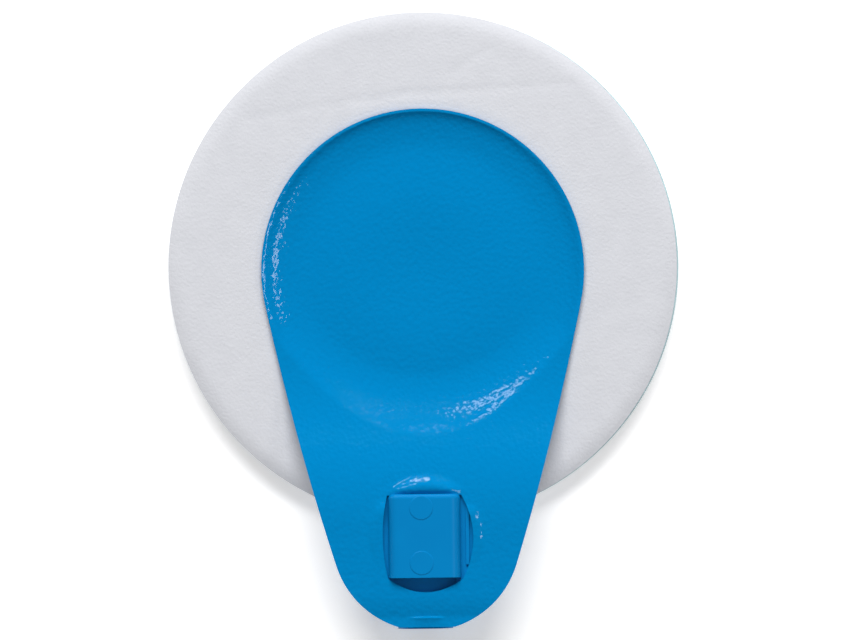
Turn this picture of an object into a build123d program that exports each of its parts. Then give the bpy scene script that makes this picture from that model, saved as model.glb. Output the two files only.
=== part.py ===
"""Offset monitoring electrode: foam disc, gel pad, formed cover film and a side-entry lead socket.

Millimetres, +Z up, skin side down. The origin is the middle of the foam disc, on the underside of its
release liner, and the tab with the socket points along -Y.
"""
from build123d import *
from math import atan, degrees, sqrt
import os

# Foam disc, with the edge that the die pinches down
foam_radius = 24.0
foam_thickness = 2.0
foam_rim_band = 1.6
foam_rim_drop = 0.35
gel_hole_radius = 9.0

# Release liner, cut with the foam but a little out of register
liner_thickness = 0.15
liner_shift = 0.17

# Outline of the cover film: two rounds joined by flanks that bow out slightly, and a flat end
film_thickness = 0.38
head_radius = 15.23
head_offset = 0.33
tip_radius = 8.89
tip_distance = 25.15
flank_radius = 262.0
tip_flat_width = 5.21

# Adhesive coat under the film
bond_gap = 0.03

# Dish that is pressed into the head: a soft floor, a wall, and a ramp towards the tab
dish_depth = 0.98
dish_floor_radius = 11.1
wall_middle_radius = 13.4
wall_middle_rise = 0.30
dish_rim_width = 0.28
dish_lip_rise = 0.48
ridge_radius = 7.2
ridge_height = 0.10
dimple_depth = 0.08
ramp_foot = 9.4
ramp_axis_shift = 3.5
ramp_ledge = 0.10
ramp_end_slope = 0.75

# Raised tab: where its rise starts, how far behind the connector's middle it ends, its fall along the
# connector, and then to the tip's margin
deck_start = 8.0
crest_lead = 1.34
deck_fall = 0.05
brow_fall = 0.30
tip_margin = 1.0

# Socket bore for a 4 mm plug
plug_radius = 2.0
plug_clearance = 0.03
bore_floor = 0.28
bore_back_wall = 0.60
mouth_roof = 0.18
mouth_chamfer = 0.12
mouth_proud = 0.15

# Moulded connector
connector_distance = 25.34
connector_shift = 0.15
housing_lift = 0.02
foam_clearance = 0.20
barrel_wall = 0.57
body_width = 6.8
body_corner = 1.3
body_front_wall = 0.55
shelf_lift = 0.30
flange_radius = 5.15
flange_thickness = 0.75
flange_overlap = 0.30
block_back_gap = 0.18
block_length = 7.88
block_rise = 0.75
block_shoulder = 0.95
block_corner = 0.45
moat_depth = 0.05
rib_thickness = 0.29
rib_gap = 0.36
rib_inset = 1.2
rib_rise = 0.22
gusset_thickness = 0.7
gusset_inset = 0.9
gusset_pitch = 2.6
gusset_reach = 0.85
gusset_drop = 2.2
pocket_side_wall = 0.45
ejector_radius = 1.06
ejector_rise = 0.05
ejector_shift = 0.30
ejector_inset = 1.30
ejector_pitch = 5.19

# Boss of the film round the connector, and the opening in it
ring_radius = 5.38
boss_radius = 5.25
boss_rise = 0.35
boss_slope_run = 0.25
boss_front_reach = 2.9
opening_half_width = 4.25
opening_shift = 0.15
opening_back = 4.10
opening_corner = 0.5

# Contact parts and gel
strip_thickness = 0.15
strip_width = 2.0
strip_clearance = 0.10
eye_radius = 2.2
stub_radius = 0.75
stub_clearance = 0.05
tongue_gap = 0.02
tongue_room = 0.22
tongue_short = 0.8
tongue_end_gap = 0.2
jog_lead = 0.3
jog_run = 1.4
sensor_radius = 5.0
sensor_thickness = 0.28
gel_clearance = 0.20

# Backing sheet under the tab
backing_thickness = 0.25
backing_start = 16.4
backing_inset = 0.15
backing_clearance = 0.15

# How far cutting shapes run past what they cut
overrun = 1.0

# Levels and places that follow from the sizes above
skin_z = liner_thickness
foam_top = skin_z + foam_thickness
rim_z = foam_top + 2 * bond_gap + film_thickness
floor_z = rim_z - dish_depth
bore_radius = plug_radius + plug_clearance
housing_base = skin_z + housing_lift
bore_z = housing_base + bore_floor + bore_radius
tip_z = bore_z + bore_radius + mouth_roof + film_thickness
crest_z = tip_z + brow_fall + deck_fall
head_y = -head_offset
ramp_axis_y = head_y + ramp_axis_shift
tip_y = head_y - tip_distance
flat_y = tip_y - sqrt(tip_radius ** 2 - (tip_flat_width / 2) ** 2)
ring_y = -connector_distance
ring_back_y = ring_y + ring_radius
ring_front_y = ring_y - ring_radius
crest_y, crease_y = ring_y + crest_lead, flat_y + tip_margin
deck_slope = deck_fall / (crest_y - ring_front_y)
deck_run, deck_rise = -deck_start - crest_y, crest_z - rim_z
deck_bend = (deck_run ** 2 + deck_rise ** 2) / (4 * deck_rise)
barrel_radius = bore_radius + barrel_wall
body_back_y = -(foam_radius + foam_clearance)
bore_back_y = body_back_y - bore_back_wall
mouth_y = flat_y - mouth_proud
reach = foam_radius - mouth_y
opening_back_y = ring_y + opening_back
opening_right_x = opening_shift + opening_half_width
block_back_y = opening_back_y - block_back_gap
block_front_y = block_back_y - block_length
block_z = crest_z + block_rise
roof_z = tip_z - film_thickness
flange_z = roof_z - flange_thickness
moat_z = crest_z - film_thickness - moat_depth
body_front_y = ring_front_y - body_front_wall
jog_y = ring_back_y + jog_lead
tongue_z = bore_z + bore_radius + tongue_gap
tongue_tip_y = block_front_y + tongue_short
sensor_base_z = floor_z - dimple_depth - film_thickness - strip_thickness - sensor_thickness


def side_face(*edges):
    """Closed outline in the plane of symmetry, from edges drawn as (y, z)."""
    return Plane.YZ * make_face(edges)


def side_loop(*corners):
    """Straight-sided closed outline in the plane of symmetry, from (y, z) corners."""
    return side_face(*(Line(a, b) for a, b in zip(corners, corners[1:] + corners[:1])))


def side_slab(profile, half_width, middle=0.0):
    """A side outline made solid to both sides of a vertical plane."""
    return Pos(middle - half_width, 0, 0) * extrude(profile, amount=2 * half_width, dir=(1, 0, 0))


def prism(sketch, low=0.0, high=reach):
    """A plan outline made solid between two levels."""
    return Pos(0, 0, low) * extrude(sketch, amount=high - low)


def plan_box(x_low, x_high, y_low, y_high):
    """A rectangle in plan, from its sides."""
    place = Pos((x_low + x_high) / 2, (y_low + y_high) / 2)
    return place * Rectangle(x_high - x_low, y_high - y_low)


def disc(radius, low, high, x=0.0, y=0.0):
    """A round plate between two levels."""
    return prism(Pos(x, y) * Circle(radius), low, high)


def arc_about(centre, radius, start, end):
    """The short arc from start to end about a centre."""
    middle = (start + end) / 2 - centre
    return ThreePointArc(start, centre + middle.normalized() * radius, end)


def film_outline():
    """Plan outline of the film. Each flank is a large arc that touches both rounds from outside."""
    head, tip = Vector(0, head_y), Vector(0, tip_y)
    to_head, to_tip = flank_radius - head_radius, flank_radius - tip_radius
    along = (to_head ** 2 - to_tip ** 2 + tip_distance ** 2) / (2 * tip_distance)
    right_centre = head + Vector(-sqrt(to_head ** 2 - along ** 2), -along)
    left_centre = Vector(-right_centre.X, right_centre.Y)
    upper = right_centre + (head - right_centre).normalized() * flank_radius
    lower = right_centre + (tip - right_centre).normalized() * flank_radius
    corner = Vector(tip_flat_width / 2, flat_y)
    upper_left, lower_left, corner_left = (Vector(-point.X, point.Y) for point in (upper, lower, corner))
    return make_face([
        ThreePointArc(upper, head + Vector(0, head_radius), upper_left),
        arc_about(left_centre, flank_radius, upper_left, lower_left),
        arc_about(tip, tip_radius, lower_left, corner_left),
        Line(corner_left, corner),
        arc_about(tip, tip_radius, corner, lower),
        arc_about(right_centre, flank_radius, lower, upper),
    ])


def opening_outline():
    """Opening in the film: the connector's circle with flats at the back and at both sides."""
    left_x = opening_shift - opening_half_width
    flats = plan_box(left_x, opening_right_x, ring_front_y - overrun, opening_back_y)
    flats = fillet(flats.vertices().sort_by(Axis.Y)[-2:], opening_corner)
    return flats & (Pos(0, ring_y) * Circle(ring_radius))


def deck_z(y):
    """Height of the film's top outside the dish and behind the brow, along two arcs and a slight slope."""
    from_start, from_crest = -deck_start - y, y - crest_y
    if from_crest < 0:
        return crest_z + deck_slope * from_crest
    if from_start < from_crest:
        return rim_z + deck_bend - sqrt(deck_bend ** 2 - max(from_start, 0) ** 2)
    return crest_z - deck_bend + sqrt(deck_bend ** 2 - from_crest ** 2)


def deck_block():
    """Everything below the film's top outside the dish: up to the tab, along it, and down to its margin."""
    back, front = head_y + head_radius + overrun, mouth_y - overrun
    start, crest = (-deck_start, rim_z), (crest_y, crest_z)
    middle = ((start[0] + crest[0]) / 2, (start[1] + crest[1]) / 2)
    brow, crease = (ring_front_y, deck_z(ring_front_y)), (crease_y, tip_z)
    return side_slab(side_face(
        Line((back, 0), (back, rim_z)),
        Line((back, rim_z), start),
        TangentArc(start, middle, tangent=(-1, 0)),
        TangentArc(crest, middle, tangent=(1, 0)),
        Line(crest, brow),
        TangentArc(brow, crease, tangent=(-1, -deck_slope)),
        Line(crease, (front, tip_z)),
        Line((front, tip_z), (front, 0)),
        Line((front, 0), (back, 0)),
    ), head_radius + overrun)


def dish_bowl():
    """Space in the head above the dish's floor and wall, turned about the head's axis.

    The wall's lip leans out above the rim, so that it runs into the flanks of the tab without a tall step.
    """
    top = crest_z + overrun
    middle, edge = (0, floor_z - dimple_depth), (head_radius - dish_rim_width, rim_z)
    lip = (head_radius, rim_z + dish_lip_rise)
    foot = (dish_floor_radius, floor_z)
    profile = Plane.XZ * make_face([
        Spline(middle, (ridge_radius, floor_z + ridge_height), foot, tangents=[(1, 0), (1, 0)]),
        Spline(foot, (wall_middle_radius, floor_z + wall_middle_rise), edge, tangents=[(1, 0), (1, 1)]),
        Line(edge, lip),
        Line(lip, (head_radius, top)),
        Line((head_radius, top), (0, top)),
        Line((0, top), middle),
    ])
    return Pos(0, head_y, 0) * revolve(profile, Axis.Z)


def ramp_space():
    """Space above the ramp from the dish's floor to the tab, turned about an axis beyond the head's."""
    edge_y, base, top = head_y - head_radius, floor_z - overrun, crest_z + overrun
    foot = (ramp_axis_y + ramp_foot, floor_z)
    edge = (ramp_axis_y - edge_y, deck_z(edge_y) - ramp_ledge)
    past = (edge[0] + overrun, edge[1] + ramp_end_slope * overrun)
    profile = Plane.XZ * make_face([
        Line((0, base), (foot[0], base)),
        Line((foot[0], base), foot),
        Spline(foot, edge, tangents=[(1, 0), (1, ramp_end_slope)]),
        Line(edge, past),
        Line(past, (past[0], top)),
        Line((past[0], top), (0, top)),
        Line((0, top), (0, base)),
    ])
    return Pos(0, ramp_axis_y, 0) * revolve(profile, Axis.Z)


def boss():
    """Low cone that stands square on the deck round the connector.

    Its top tilts, from nothing in front of the connector's middle to boss_rise at the back.
    """
    slope = boss_slope_run / boss_rise
    cone = Cone(boss_radius + slope * overrun, boss_radius - slope * overrun, 2 * overrun)
    tilt = boss_rise / (boss_radius + boss_front_reach) * overrun
    front, back = -boss_front_reach - overrun, boss_radius + overrun
    under = side_loop((front, -overrun), (front, -tilt), (back, boss_rise + tilt), (back, -overrun))
    place = Pos(0, ring_y, deck_z(ring_y)) * Rot(degrees(atan(deck_slope)), 0, 0)
    return place * (cone & side_slab(under, head_radius))


def film_form():
    """Everything below the top of the film, over the whole of its outline."""
    return deck_block() - (dish_bowl() & ramp_space()) + boss()


def lowered(form, drop):
    """The same form further down."""
    return Pos(0, 0, -drop) * form


def make_cap_film(form, outline):
    """Formed cover film, grained blue, with the opening for the connector."""
    skin = form - lowered(form, film_thickness)
    return (skin & prism(outline)) - prism(opening_outline())


def strip_plan(margin=0.0):
    """Plan of the strip where it lies under the film: an eye over the sensor and a straight run."""
    half = strip_width / 2 + margin
    return (Pos(0, head_y) * Circle(eye_radius + margin)) + plan_box(-half, half, jog_y, head_y)


def strip_room(form):
    """Space that the foam and the backing sheet leave for the strip."""
    return prism(strip_plan(strip_clearance)) - lowered(form, film_thickness + strip_thickness + bond_gap)


def make_foam_disc(form, outline):
    """Foam disc with its rim pinched down, the gel hole, and the dish pressed in under the film."""
    band_radius, edge_z = foam_radius - foam_rim_band, foam_top - foam_rim_drop
    profile = Plane.XZ * make_face([
        Line((0, skin_z), (foam_radius, skin_z)),
        Line((foam_radius, skin_z), (foam_radius, edge_z)),
        TangentArc((band_radius, foam_top), (foam_radius, edge_z), tangent=(1, 0)),
        Line((band_radius, foam_top), (0, foam_top)),
        Line((0, foam_top), (0, skin_z)),
    ])
    film_room = prism(outline) - lowered(form, film_thickness + bond_gap)
    hole = disc(gel_hole_radius, 0, foam_top + overrun, y=head_y)
    return revolve(profile, Axis.Z) - film_room - strip_room(form) - hole


def make_release_liner():
    """Clear sheet under the disc, out of register to one side."""
    return disc(foam_radius, 0, liner_thickness, x=liner_shift)


def make_gel_sponge():
    """Gel-soaked pad between the liner and the sensor."""
    return disc(gel_hole_radius - gel_clearance, skin_z, sensor_base_z, y=head_y)


def make_sensor_disc(form):
    """Plated disc on the pad. Its top follows the strip, and its stub fills the strip's eye."""
    under_strip = lowered(form, film_thickness + strip_thickness)
    body = disc(sensor_radius, sensor_base_z, reach, y=head_y) & under_strip
    stub = disc(stub_radius, sensor_base_z, reach, y=head_y) & lowered(form, film_thickness + bond_gap)
    return body + stub


def make_contact_strip(form):
    """Plated strip: it follows the film, steps down into the connector and ends as a flat tongue."""
    sheet = lowered(form, film_thickness) - lowered(form, film_thickness + strip_thickness)
    start_z, step_y, top_z = deck_z(jog_y) - film_thickness, jog_y - jog_run, tongue_z + strip_thickness
    step = side_loop((jog_y, start_z), (jog_y, start_z - strip_thickness), (step_y, tongue_z),
                     (tongue_tip_y, tongue_z), (tongue_tip_y, top_z), (step_y, top_z))
    eye = disc(stub_radius + stub_clearance, 0, reach, y=head_y)
    return (sheet & prism(strip_plan())) + side_slab(step, strip_width / 2, -connector_shift) - eye


def across(sketch, back, front):
    """A section across the bore, made solid from back to front on the connector's axis."""
    return Pos(-connector_shift, back, 0) * extrude(Plane.XZ * sketch, amount=back - front)


def upright(width, low):
    """Rectangle of a section across the bore, from a level upwards."""
    return Pos(0, low + reach / 2) * Rectangle(width, reach)


def connector_plan(half_width, y_low, y_high):
    """A rectangle in plan on the connector's axis."""
    return plan_box(-connector_shift - half_width, -connector_shift + half_width, y_low, y_high)


def make_tab_backing(form, outline):
    """Thin sheet that covers the strip under the tab and stops short of the connector."""
    upper = film_thickness + bond_gap
    plan = offset(outline, -backing_inset) & plan_box(-reach, reach, -reach, -backing_start)
    plan -= Pos(0, ring_y) * Circle(ring_radius + jog_lead + backing_clearance)
    plan -= connector_plan(body_width / 2 + backing_clearance, body_front_y - backing_clearance, ring_y)
    plan -= connector_plan(barrel_radius + backing_clearance, -reach, ring_y)
    layer = lowered(form, upper) - lowered(form, upper + backing_thickness)
    return (layer & prism(plan)) - strip_room(form)


def make_block():
    """Smooth block in the film's opening: rounded shoulders, a sharp front edge and two ejector pads."""
    section = Pos(0, (flange_z + block_z) / 2) * Rectangle(body_width, block_z - flange_z)
    section = fillet(section.vertices().sort_by(Axis.Y)[-2:], block_shoulder)
    block = across(section, block_back_y, block_front_y)
    block = fillet(block.faces().sort_by(Axis.Y)[-1].edges().filter_by(Axis.Z), block_corner)
    pads = [disc(ejector_radius, block_z - block_shoulder, block_z + ejector_rise,
                 x=-connector_shift - ejector_shift, y=block_back_y - ejector_inset - step)
            for step in (0, ejector_pitch)]
    return block + pads


def make_flange():
    """Flange under the film. Beside the block it runs out past the film's opening."""
    plan = Pos(0, ring_y) * Circle(ring_radius + flange_overlap)
    plan &= plan_box(-reach, reach, -reach, opening_back_y + flange_overlap)
    return prism(plan, flange_z) + disc(flange_radius, flange_z, reach, y=ring_y)


def make_rib():
    """Low rib in the gap on the right of the block. The film covers the gap's twin on the left."""
    outer = opening_right_x - rib_gap
    plan = plan_box(outer - rib_thickness, outer, block_front_y + rib_inset, block_back_y - rib_inset)
    return prism(plan, flange_z, moat_z + rib_rise)


def make_gussets():
    """Webs that brace the flange against the body, two at each side."""
    half = body_width / 2
    corners = [(half + gusset_reach, flange_z), (half, flange_z - gusset_drop),
               (-half, flange_z - gusset_drop), (-half - gusset_reach, flange_z)]
    web = make_face([Line(a, b) for a, b in zip(corners, corners[1:] + corners[:1])])
    backs = [body_back_y - gusset_inset - step for step in (0, gusset_pitch)]
    return [across(web, back, back - gusset_thickness) for back in backs]


def make_bore():
    """Bore for the plug, with a lead-in at its mouth, and the room that the tongue springs into."""
    bore = across(Pos(0, bore_z) * Circle(bore_radius), bore_back_y, mouth_y - overrun)
    lead_in = (Pos(-connector_shift, mouth_y, bore_z) * Rot(-90, 0, 0)
               * Cone(bore_radius + mouth_chamfer, bore_radius, mouth_chamfer,
                      align=(Align.CENTER, Align.CENTER, Align.MIN)))
    room = connector_plan(strip_width / 2 + strip_clearance, tongue_tip_y - tongue_end_gap, bore_back_y)
    return [bore, lead_in, prism(room, bore_z, tongue_z + strip_thickness + tongue_room)]


def make_pocket():
    """Pocket in front of the block, as deep as the roof of the bore allows."""
    plan = connector_plan(body_width / 2 - pocket_side_wall, ring_front_y - overrun, block_front_y)
    return prism(opening_outline() & plan, roof_z)


def make_connector_housing(form, strip):
    """Moulded socket: a body and barrel round the bore, a flange under the film and a block on top."""
    body = fillet(upright(body_width, housing_base).vertices().sort_by(Axis.Y)[:2], body_corner)
    barrel = (Pos(0, bore_z) * Circle(barrel_radius)) & upright(reach, housing_base)
    base = (across(body, body_back_y, body_front_y) + across(barrel, body_back_y, mouth_y)
            + across(upright(body_width, foam_top + shelf_lift), block_back_y, body_back_y)
            + make_flange())
    base = (base & lowered(form, film_thickness)) - prism(opening_outline(), moat_z)
    return base + make_gussets() + make_block() + make_rib() - make_bore() - make_pocket() - strip


def write_part(name, shape):
    """Write one piece as a STEP file."""
    export_step(shape, f"parts/{name}.step")
    print(name, len(shape.solids()), "solid", round(shape.volume, 3))


form = film_form()
outline = film_outline()
contact_strip = make_contact_strip(form)
pieces = {
    "release_liner": make_release_liner(),
    "foam_disc": make_foam_disc(form, outline),
    "gel_sponge": make_gel_sponge(),
    "sensor_disc": make_sensor_disc(form),
    "contact_strip": contact_strip,
    "tab_backing": make_tab_backing(form, outline),
    "connector_housing": make_connector_housing(form, contact_strip),
    "cap_film": make_cap_film(form, outline),
}
os.makedirs("parts", exist_ok=True)
for name, shape in pieces.items():
    write_part(name, shape)
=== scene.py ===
"""Looks of an offset monitoring electrode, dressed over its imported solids. Metres, skin side down."""
import math

import bmesh
import bpy
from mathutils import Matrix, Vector, noise
from mathutils.bvhtree import BVHTree


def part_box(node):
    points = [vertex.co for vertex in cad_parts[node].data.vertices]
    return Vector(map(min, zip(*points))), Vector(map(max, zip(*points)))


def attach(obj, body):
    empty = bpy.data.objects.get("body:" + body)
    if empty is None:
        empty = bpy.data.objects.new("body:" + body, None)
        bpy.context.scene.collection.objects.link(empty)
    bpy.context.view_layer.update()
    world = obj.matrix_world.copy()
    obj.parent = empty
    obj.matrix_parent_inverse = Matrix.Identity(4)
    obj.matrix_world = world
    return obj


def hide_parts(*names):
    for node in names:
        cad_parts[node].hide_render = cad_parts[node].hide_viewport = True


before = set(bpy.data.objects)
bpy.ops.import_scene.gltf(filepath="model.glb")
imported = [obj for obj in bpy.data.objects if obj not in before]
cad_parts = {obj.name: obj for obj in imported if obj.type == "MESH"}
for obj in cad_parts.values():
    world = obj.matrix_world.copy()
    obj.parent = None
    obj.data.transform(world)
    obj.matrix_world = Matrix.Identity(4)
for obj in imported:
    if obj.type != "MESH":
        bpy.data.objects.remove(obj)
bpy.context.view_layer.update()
scene = bpy.context.scene

# Camera: it looks straight down from far above, so that heights hardly shift anything. The electrode
# lies turned by less than a degree, with its tab a little to the right.
MM = 0.001
VIEW_WIDTH = 80.47 * MM
VIEW_CENTRE = (0.30 * MM, -5.06 * MM)
VIEW_ROLL = math.radians(-0.75)
VIEW_LEVEL = 2.5 * MM
CAMERA_HEIGHT = 1.2
CAMERA_CLIP = 0.05
camera_data = bpy.data.cameras.new("camera")
camera_data.lens = camera_data.sensor_width * (CAMERA_HEIGHT - VIEW_LEVEL) / VIEW_WIDTH
camera_data.clip_start = CAMERA_CLIP
camera = bpy.data.objects.new("camera", camera_data)
camera.location = (*VIEW_CENTRE, CAMERA_HEIGHT)
camera.rotation_euler = (0, 0, VIEW_ROLL)
scene.collection.objects.link(camera)
scene.camera = camera

# Table: a plain white sheet, large enough to fill every view, lit a little from below as on a light table.
# The glow keeps the shadow on it pale.
TABLE_SIZE = 1.6
TABLE_TONE = 0.98
TABLE_GLOW = 0.3
TABLE_ROUGHNESS, TABLE_GLOSS = 0.9, 0.1


def place_mesh(name, mesh):
    """Writes a bmesh as an object of the scene."""
    data = bpy.data.meshes.new(name)
    mesh.to_mesh(data)
    mesh.free()
    placed = bpy.data.objects.new(name, data)
    scene.collection.objects.link(placed)
    return placed


table_mesh = bmesh.new()
bmesh.ops.create_grid(table_mesh, x_segments=1, y_segments=1, size=TABLE_SIZE / 2)
table = place_mesh("table", table_mesh)
table_paper = bpy.data.materials.new("table_paper")
table_paper.use_nodes = True
paper_shader = table_paper.node_tree.nodes["Principled BSDF"]
paper_shader.inputs["Base Color"].default_value = (TABLE_TONE, TABLE_TONE, TABLE_TONE, 1)
paper_shader.inputs["Roughness"].default_value = TABLE_ROUGHNESS
paper_shader.inputs["Specular IOR Level"].default_value = TABLE_GLOSS
paper_shader.inputs["Emission Color"].default_value = (1, 1, 1, 1)
paper_shader.inputs["Emission Strength"].default_value = TABLE_GLOW
table.data.materials.append(table_paper)

# Studio light: softboxes beyond the top, the right and the foot of the picture and a faint even surround
# give the soft light, and no gloss shows the boxes. Narrow strips give only the glints.
SURROUND = 0.24
SURROUND_GLOSS = 0.01
LIGHT_DISTANCE = 0.9
LIGHTS = (
    # name, compass angle from +X, height angle, width, depth, watts, whether it makes glints
    ("top_softbox", 93, 41, 0.80, 0.34, 9.9, False),
    ("front_softbox", -88, 30, 0.70, 0.25, 0.8, False),
    ("right_softbox", -6, 36, 0.34, 0.12, 0.6, False),
    ("top_strip", 114, 36, 0.33, 0.09, 0.60, True),
    ("arc_strip", 92, 17, 0.20, 0.012, 0.048, True),
    ("low_strip", 101, 4, 0.50, 0.09, 1.20, True),
    ("side_strip", 73, 31, 0.06, 0.02, 0.024, True),
    ("right_strip", -6, 55, 0.36, 0.09, 0.56, True),
)
scene.view_settings.view_transform = "Standard"
scene.world = bpy.data.worlds.new("surround")
scene.world.use_nodes = True
world_nodes, world_links = scene.world.node_tree.nodes, scene.world.node_tree.links
world_nodes["Background"].inputs["Color"].default_value = (1, 1, 1, 1)
glow = world_nodes.new("ShaderNodeMath")
glow.operation = "MULTIPLY_ADD"
glow.inputs[1].default_value = SURROUND_GLOSS - SURROUND
glow.inputs[2].default_value = SURROUND
world_links.new(world_nodes.new("ShaderNodeLightPath").outputs["Is Glossy Ray"], glow.inputs[0])
world_links.new(glow.outputs[0], world_nodes["Background"].inputs["Strength"])
for name, compass, height, width, depth, watts, glints in LIGHTS:
    light_data = bpy.data.lights.new(name, "AREA")
    light_data.shape = "RECTANGLE"
    light_data.size, light_data.size_y = width, depth
    light_data.energy = watts
    light = bpy.data.objects.new(name, light_data)
    light.visible_diffuse, light.visible_glossy = not glints, glints
    turn, rise = math.radians(compass), math.radians(height)
    direction = Vector((math.cos(rise) * math.cos(turn), math.cos(rise) * math.sin(turn), math.sin(rise)))
    light.location = direction * LIGHT_DISTANCE
    light.rotation_euler = direction.to_track_quat("Z", "Y").to_euler()
    scene.collection.objects.link(light)

# Release liner: a thin clear sheet that covers the sticky side until use. It is cut with the foam and lies
# a little out of register, so that its cut edge shows as a pale teal line.
VORONOI_SMOOTHNESS = 0.6
GRAIN_DETAIL, PATCH_DETAIL = 3, 2


def grain_group():
    """A finish's uneven surface: fine grain and coarser patches in one height, and the patches alone."""
    group = bpy.data.node_groups.new("fine_grain", "ShaderNodeTree")
    for name, value in (("Grain size", 0.3), ("Patch size", 4.0), ("Patch share", 0.3), ("Sharpness", 0.0)):
        socket = group.interface.new_socket(name, in_out="INPUT", socket_type="NodeSocketFloat")
        socket.default_value = value
    for name in ("Height", "Patches"):
        group.interface.new_socket(name, in_out="OUTPUT", socket_type="NodeSocketFloat")
    nodes, links = group.nodes, group.links
    entry, leave = nodes.new("NodeGroupInput"), nodes.new("NodeGroupOutput")
    place = nodes.new("ShaderNodeTexCoord")

    def texture(kind, size_socket):
        """A texture on the piece's own coordinates, with its size in mm from a socket of the group."""
        pattern = nodes.new(kind)
        per_metre = nodes.new("ShaderNodeMath")
        per_metre.operation = "DIVIDE"
        per_metre.inputs[0].default_value = 1 / MM
        links.new(entry.outputs[size_socket], per_metre.inputs[1])
        links.new(place.outputs["Object"], pattern.inputs["Vector"])
        links.new(per_metre.outputs[0], pattern.inputs["Scale"])
        return pattern

    def blend(share_socket, first, second):
        """The mix of two heights, with the second one's share from a socket of the group."""
        mix = nodes.new("ShaderNodeMix")
        links.new(entry.outputs[share_socket], mix.inputs["Factor"])
        links.new(first, mix.inputs["A"])
        links.new(second, mix.inputs["B"])
        return mix.outputs["Result"]

    cells = texture("ShaderNodeTexVoronoi", "Grain size")
    cells.feature = "SMOOTH_F1"
    cells.inputs["Smoothness"].default_value = VORONOI_SMOOTHNESS
    soft = texture("ShaderNodeTexNoise", "Grain size")
    soft.inputs["Detail"].default_value = GRAIN_DETAIL
    patches = texture("ShaderNodeTexNoise", "Patch size")
    patches.inputs["Detail"].default_value = PATCH_DETAIL
    grain = blend("Sharpness", soft.outputs["Fac"], cells.outputs["Distance"])
    links.new(blend("Patch share", grain, patches.outputs["Fac"]), leave.inputs["Height"])
    links.new(patches.outputs["Fac"], leave.inputs["Patches"])
    return group


def finish_material(name, dark, light, roughness, relief, grain, **more):
    """A finish of two tones that the patches mix, with relief (mm) from the grain."""
    material = bpy.data.materials.new(name)
    material.use_nodes = True
    nodes, links = material.node_tree.nodes, material.node_tree.links
    shader = nodes["Principled BSDF"]
    shader.inputs["Roughness"].default_value = roughness
    texture = nodes.new("ShaderNodeGroup")
    texture.node_tree = FINE_GRAIN
    for socket, value in grain.items():
        texture.inputs[socket].default_value = value
    tone = nodes.new("ShaderNodeMix")
    tone.data_type = "RGBA"
    tone.inputs["A"].default_value = (*dark, 1)
    tone.inputs["B"].default_value = (*light, 1)
    links.new(texture.outputs["Patches"], tone.inputs["Factor"])
    links.new(tone.outputs["Result"], shader.inputs["Base Color"])
    bump = nodes.new("ShaderNodeBump")
    bump.inputs["Distance"].default_value = relief * MM
    links.new(texture.outputs["Height"], bump.inputs["Height"])
    links.new(bump.outputs["Normal"], shader.inputs["Normal"])
    for socket, value in more.items():
        shader.inputs[socket.replace("_", " ")].default_value = value
    return material


def dress(node, material):
    """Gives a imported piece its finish."""
    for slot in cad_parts[node].material_slots:
        slot.material = material


FINE_GRAIN = grain_group()
clear_liner = finish_material(
    "clear_liner", dark=(0.50, 0.76, 0.80), light=(0.58, 0.80, 0.83), roughness=0.12, relief=0.002,
    grain={"Grain size": 0.8, "Patch size": 9.0}, Alpha=0.55)
dress("release_liner", clear_liner)

# Foam disc: white closed-cell foam, die-cut, so that its rim is pinched down. Handling has left faint
# creases near its top edge. Its hole for the gel lies a little off its middle.
white_foam = finish_material(
    "white_foam", dark=(0.64, 0.65, 0.69), light=(0.69, 0.70, 0.74), roughness=0.85, relief=0.07,
    grain={"Grain size": 0.28, "Patch size": 1.6, "Patch share": 0.35, "Sharpness": 0.3},
    Specular_IOR_Level=0.25)
FOAM_TURNS = 320
FOAM_RING = 0.4 * MM
FOAM_SHARP = 50
RIM_BAND, RIM_STEPS = 1.6 * MM, 7
HOLE_CLEARANCE = 0.2 * MM
HOLE_SHIFT_REACH = 3 * MM
HOLE_EDGE = 0.01 * MM
FOAM_WAVE, FOAM_WAVE_SIZE = 0.035 * MM, 3.2 * MM
CREASE_WIDTH = 0.28 * MM
CREASES = (
    # depth, then the ends of a faint crease, in mm
    (0.050, (-6.6, 15.6), (-1.5, 16.3)),
    (0.060, (-1.5, 16.3), (4.0, 16.5)),
    (0.045, (4.0, 16.5), (14.5, 17.1)),
    (0.050, (3.3, 18.4), (6.1, 20.3)),
    (0.040, (-8.4, 15.2), (-6.2, 15.9)),
    (0.035, (-16.5, 14.0), (-8.8, 15.4)),
)
PROBE_OUTWARDS, PROBE_INWARDS = 1.003, 0.999
WELD = 0.001 * MM


def top_of(node):
    """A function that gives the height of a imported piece's top at x, y, or None beside it."""
    tree = BVHTree.FromObject(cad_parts[node], bpy.context.evaluated_depsgraph_get())

    def height(x, y):
        hit = tree.ray_cast(Vector((x, y, 1.0)), Vector((0, 0, -1)))[0]
        return hit.z if hit else None
    return height


def new_piece(name, mesh, material, node, sharp_angle):
    """Writes a mesh as a piece, smooth but for its sharp edges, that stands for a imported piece."""
    piece = place_mesh(name, mesh)
    piece.data.shade_smooth()
    piece.data.set_sharp_from_angle(angle=math.radians(sharp_angle))
    piece.data.materials.append(material)
    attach(piece, "root")
    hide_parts(node)
    return piece


def foam_dent(x, y):
    """How far the foam's top lies below its flat: soft waves and a few faint creases."""
    wave = noise.noise(Vector((x, y, 0)) / FOAM_WAVE_SIZE)
    dent = FOAM_WAVE * (0.5 + 0.5 * wave)
    for depth, start, end in CREASES:
        a, b = Vector(start) * MM, Vector(end) * MM
        along = max(0, min(1, (Vector((x, y)) - a).dot(b - a) / (b - a).length_squared))
        away = (Vector((x, y)) - a.lerp(b, along)).length / CREASE_WIDTH
        dent += depth * MM * math.exp(-away ** 2)
    return dent


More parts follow.
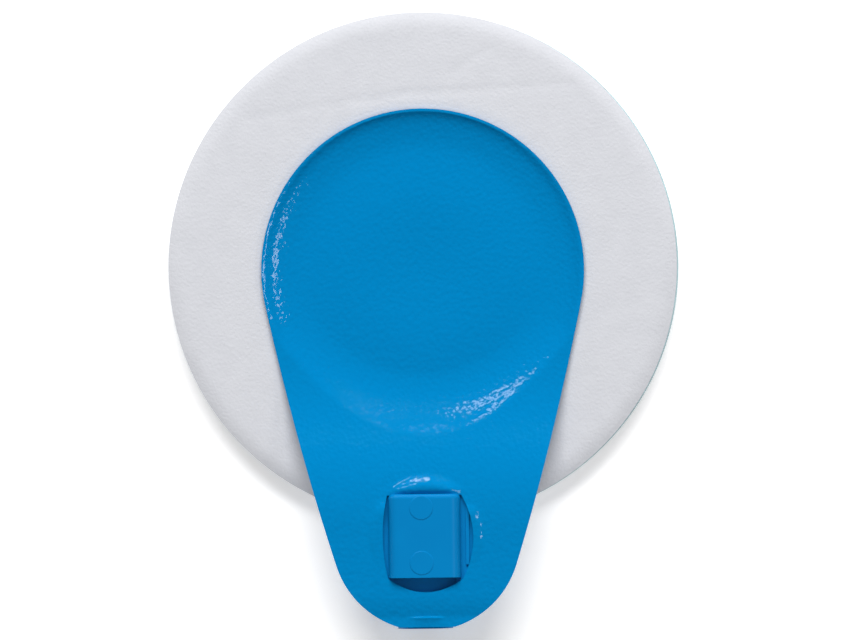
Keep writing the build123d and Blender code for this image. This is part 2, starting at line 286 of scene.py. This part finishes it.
foam_low, foam_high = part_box("foam_disc")
gel_low, gel_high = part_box("gel_sponge")
foam_radius, foam_base, foam_top = foam_high[0], foam_low[2], foam_high[2]
hole_radius, hole_y = gel_high[0] + HOLE_CLEARANCE, (gel_low[1] + gel_high[1]) / 2
foam_height = top_of("foam_disc")
foam_mesh = bmesh.new()
profile = [foam_mesh.verts.new((radius, 0, foam_base)) for radius in (hole_radius, foam_radius)]
for step in range(RIM_STEPS + 1):
    radius = foam_radius - RIM_BAND * step / RIM_STEPS
    profile.append(foam_mesh.verts.new((radius, 0, foam_top)))
while radius - FOAM_RING > hole_radius:
    radius -= FOAM_RING
    profile.append(foam_mesh.verts.new((radius, 0, foam_top)))
profile.append(foam_mesh.verts.new((hole_radius, 0, foam_top)))
for start, end in zip(profile, profile[1:] + profile[:1]):
    foam_mesh.edges.new((start, end))
bmesh.ops.spin(foam_mesh, geom=foam_mesh.verts[:] + foam_mesh.edges[:], axis=(0, 0, 1), cent=(0, 0, 0),
               angle=2 * math.pi, steps=FOAM_TURNS, use_merge=True)
bmesh.ops.remove_doubles(foam_mesh, verts=foam_mesh.verts, dist=WELD)
for vert in foam_mesh.verts:
    radius = vert.co.xy.length
    vert.co.y += hole_y * max(0, 1 - (radius - hole_radius) / HOLE_SHIFT_REACH)
    if vert.co.z > (foam_base + foam_top) / 2:
        probe = vert.co.xy * (PROBE_OUTWARDS if radius < hole_radius + HOLE_EDGE else PROBE_INWARDS)
        vert.co.z = foam_height(*probe) - foam_dent(vert.co.x, vert.co.y)
bmesh.ops.recalc_face_normals(foam_mesh, faces=foam_mesh.faces)
foam = new_piece("foam_pad", foam_mesh, white_foam, "foam_disc", FOAM_SHARP)

# Gel sponge: an open-cell pad in the foam's hole, wet with clear salt gel. It touches the skin below and
# the sensor above, and is held by the film over it.
wet_gel = finish_material(
    "wet_gel", dark=(0.62, 0.70, 0.74), light=(0.74, 0.80, 0.82), roughness=0.25, relief=0.05,
    grain={"Grain size": 0.5, "Patch size": 3.0, "Sharpness": 0.8}, Coat_Weight=0.6)
dress("gel_sponge", wet_gel)

# Contact parts: a moulded disc, plated with silver, that lies on the gel, and a plated metal strip that
# runs from the disc's stud over the foam into the socket.
silver_plating = finish_material(
    "silver_plating", dark=(0.42, 0.42, 0.42), light=(0.60, 0.60, 0.59), roughness=0.34, relief=0.006,
    grain={"Grain size": 0.15, "Patch size": 1.5}, Metallic=1.0)
dress("sensor_disc", silver_plating)
dress("contact_strip", silver_plating)

# Backing of the tab: thin white tape, cut to the tab's outline, that is stuck under the film and covers the
# strip where it crosses to the connector.
backing_tape = finish_material(
    "backing_tape", dark=(0.62, 0.63, 0.66), light=(0.68, 0.69, 0.72), roughness=0.8, relief=0.02,
    grain={"Grain size": 0.22, "Patch size": 2.0, "Sharpness": 0.3})
dress("tab_backing", backing_tape)

# Connector: a socket moulded in smooth blue plastic, seated under the film with its block up through the
# film's opening. Two round ejector marks stand on the block, each a low pad with a sloped edge.
blue_moulding = finish_material(
    "blue_moulding", dark=(0.0, 0.206, 0.52), light=(0.0, 0.230, 0.56), roughness=0.36, relief=0.004,
    grain={"Grain size": 0.5, "Patch size": 3.0}, Specular_IOR_Level=0.15)
dress("connector_housing", blue_moulding)
MARK_RADIUS, MARK_FOOT, MARK_TURNS = 1.06 * MM, 1.15 * MM, 96
MARK_RISE, MARK_SKIN = 0.05 * MM, 0.004 * MM
MARKS = ((-0.45 * MM, -22.72 * MM), (-0.45 * MM, -27.91 * MM))
mark_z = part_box("connector_housing")[1][2] + MARK_SKIN - MARK_RISE / 2
marks_mesh = bmesh.new()
for x, y in MARKS:
    mark = bmesh.ops.create_cone(marks_mesh, cap_ends=True, segments=MARK_TURNS, radius1=MARK_FOOT,
                                 radius2=MARK_RADIUS, depth=MARK_RISE)["verts"]
    bmesh.ops.translate(marks_mesh, verts=mark, vec=(x, y, mark_z))
marks = place_mesh("ejector_marks", marks_mesh)
marks.data.materials.append(blue_moulding)
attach(marks, "root")

# Cover film: blue vinyl with a fine leather-like grain and a clear gloss, formed hot over the pad, up the
# ramp to the tab and round the connector, and stuck to the foam. The grain breaks up its glints.
blue_film = finish_material(
    "blue_film", dark=(0.0, 0.220, 0.53), light=(0.0, 0.240, 0.57), roughness=0.08, relief=0.05,
    grain={"Grain size": 0.42, "Patch size": 0.40, "Patch share": 0.4, "Sharpness": 1.0},
    Specular_IOR_Level=0.5)
FILM_THICKNESS = 0.38 * MM
FILM_SHARP = 40
HEAD_ROWS, TAB_ROWS, TIP_ROWS, FILM_COLUMNS = 84, 124, 100, 120
FILM_ROWS = HEAD_ROWS + TAB_ROWS + TIP_ROWS
HEAD_RADIUS, HEAD_Y = 15.23 * MM, -0.33 * MM
TIP_RADIUS, TIP_Y = 8.89 * MM, -25.48 * MM
TIP_END_ANGLE = math.radians(72.9)
OPENING_RADIUS, OPENING_Y = 5.38 * MM, -25.34 * MM
OPENING_SIDE_STEPS = 24
OPENING_SIDES = (
    # a corner of the opening, and how far the side after it bows out, in mm
    ((-3.64, -21.53), 0.0),
    ((3.34, -21.53), 1.06),
    ((3.42, -29.46), 1.27),
    ((-3.62, -29.38), 0.46),
)
PUNCH_HEIGHT = 10 * MM
PAST_OPENING, PAST_FILM = 1.1 * OPENING_RADIUS, 1.02 * HEAD_RADIUS
REACH_HALVINGS = 18
PROBE_AIM, PROBE_SHARE = Vector((0, HEAD_Y - HEAD_RADIUS / 2)), 0.001
SOFTENING, SOFTENING_ROUNDS = 0.5, 3
BOSS_BAND, BOSS_ROUNDS = (4.5 * MM, 6.3 * MM), 3
BROW_BAND, BROW_ROUNDS = (-33.75 * MM, -31.9 * MM), 24
TIP_FOLD_Y, TIP_FOLD_RUN, TIP_FOLD_RISE = -32.95 * MM, 0.16 * MM, 0.20 * MM
TIP_FOLD_FADE, TIP_FOLD_REACH = 0.45 * MM, 1.4 * MM
film_height = top_of("cap_film")


def film_row(row):
    """Where a row lies along the film: rows crowd together where the outline turns across."""
    if row < HEAD_ROWS:
        return HEAD_Y + HEAD_RADIUS * math.cos(math.pi / 2 * row / HEAD_ROWS)
    if row < HEAD_ROWS + TAB_ROWS:
        return HEAD_Y + (TIP_Y - HEAD_Y) * (row - HEAD_ROWS) / TAB_ROWS
    return TIP_Y - TIP_RADIUS * math.sin(TIP_END_ANGLE * (row - HEAD_ROWS - TAB_ROWS) / TIP_ROWS)


def film_reach(y):
    """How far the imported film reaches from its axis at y, found by halving."""
    inside = PAST_OPENING if abs(y - OPENING_Y) < OPENING_RADIUS else 0.0
    outside = PAST_FILM
    for _ in range(REACH_HALVINGS):
        middle = (inside + outside) / 2
        if film_height(middle, y) is None:
            outside = middle
        else:
            inside = middle
    return inside


def lay_row(verts, y):
    """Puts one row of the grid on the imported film, straight across the opening."""
    reach = film_reach(y)
    known = []
    for vert in verts:
        vert.co.xy = vert.co.x * 2 * reach, y
        vert.co.z = film_height(*vert.co.xy.lerp(PROBE_AIM, PROBE_SHARE)) or 0
        if vert.co.z:
            known.append(vert)
    for vert in verts:
        if not vert.co.z:
            left = max((other for other in known if other.co.x < vert.co.x), key=lambda other: other.co.x)
            right = min((other for other in known if other.co.x > vert.co.x), key=lambda other: other.co.x)
            share = (vert.co.x - left.co.x) / (right.co.x - left.co.x)
            vert.co.z = left.co.z + (right.co.z - left.co.z) * share


def raise_walls(mesh, height):
    """Extrudes a sheet to a closed solid, upwards by a height or, where it is negative, downwards."""
    moved = bmesh.ops.extrude_face_region(mesh, geom=mesh.faces, use_keep_orig=True)["geom"]
    moved = [item for item in moved if isinstance(item, bmesh.types.BMVert)]
    bmesh.ops.translate(mesh, verts=moved, vec=(0, 0, height))
    bmesh.ops.recalc_face_normals(mesh, faces=mesh.faces)


film_mesh = bmesh.new()
bmesh.ops.create_grid(film_mesh, x_segments=FILM_COLUMNS, y_segments=FILM_ROWS, size=0.5)
rows = {}
for vert in film_mesh.verts:
    rows.setdefault(round((0.5 - vert.co.y) * FILM_ROWS), []).append(vert)
for row, verts in rows.items():
    lay_row(verts, film_row(row))
bmesh.ops.remove_doubles(film_mesh, verts=rows[0] + rows[1], dist=10 * WELD)
centre = Vector((0, OPENING_Y))
for _ in range(SOFTENING_ROUNDS):
    bmesh.ops.smooth_vert(film_mesh, verts=film_mesh.verts, factor=SOFTENING, use_axis_z=True)
boss_verts = [vert for vert in film_mesh.verts
              if vert.co.y > OPENING_Y and BOSS_BAND[0] < (vert.co.xy - centre).length < BOSS_BAND[1]]
brow_verts = [vert for vert in film_mesh.verts if BROW_BAND[0] < vert.co.y < BROW_BAND[1]]
for band, rounds in ((boss_verts, BOSS_ROUNDS), (brow_verts, BROW_ROUNDS)):
    for _ in range(rounds):
        bmesh.ops.smooth_vert(film_mesh, verts=band, factor=SOFTENING, use_axis_z=True)
for vert in film_mesh.verts:
    past, aside = TIP_FOLD_Y - vert.co.y, vert.co.x / TIP_FOLD_REACH
    if past > 0:
        climb = min(past / TIP_FOLD_RUN, 1) * math.exp(-max(past - TIP_FOLD_RUN, 0) / TIP_FOLD_FADE)
        vert.co.z += TIP_FOLD_RISE * climb * math.exp(-aside ** 4)
raise_walls(film_mesh, -FILM_THICKNESS)
blank = place_mesh("film_blank", film_mesh)

opening_mesh = bmesh.new()
for number, (corner, bow) in enumerate(OPENING_SIDES):
    start, end = Vector(corner), Vector(OPENING_SIDES[(number + 1) % len(OPENING_SIDES)][0])
    outwards = Vector((start.y - end.y, end.x - start.x)).normalized()
    for step in range(OPENING_SIDE_STEPS):
        share = step / OPENING_SIDE_STEPS
        spot = start.lerp(end, share) + outwards * bow * (1 - (2 * share - 1) ** 2)
        opening_mesh.verts.new((*(spot * MM), 0))
bmesh.ops.contextual_create(opening_mesh, geom=opening_mesh.verts)
raise_walls(opening_mesh, PUNCH_HEIGHT)
opening = place_mesh("film_opening", opening_mesh)
punch = blank.modifiers.new("punch", "BOOLEAN")
punch.operation = "DIFFERENCE"
punch.solver = "EXACT"
punch.object = opening
punched = bmesh.new()
punched.from_object(blank, bpy.context.evaluated_depsgraph_get())
bpy.data.objects.remove(blank)
bpy.data.objects.remove(opening)
bmesh.ops.remove_doubles(punched, verts=punched.verts, dist=WELD)
bmesh.ops.triangulate(punched, faces=[face for face in punched.faces if len(face.verts) > 4])
new_piece("cover_film", punched, blue_film, "cap_film", FILM_SHARP)
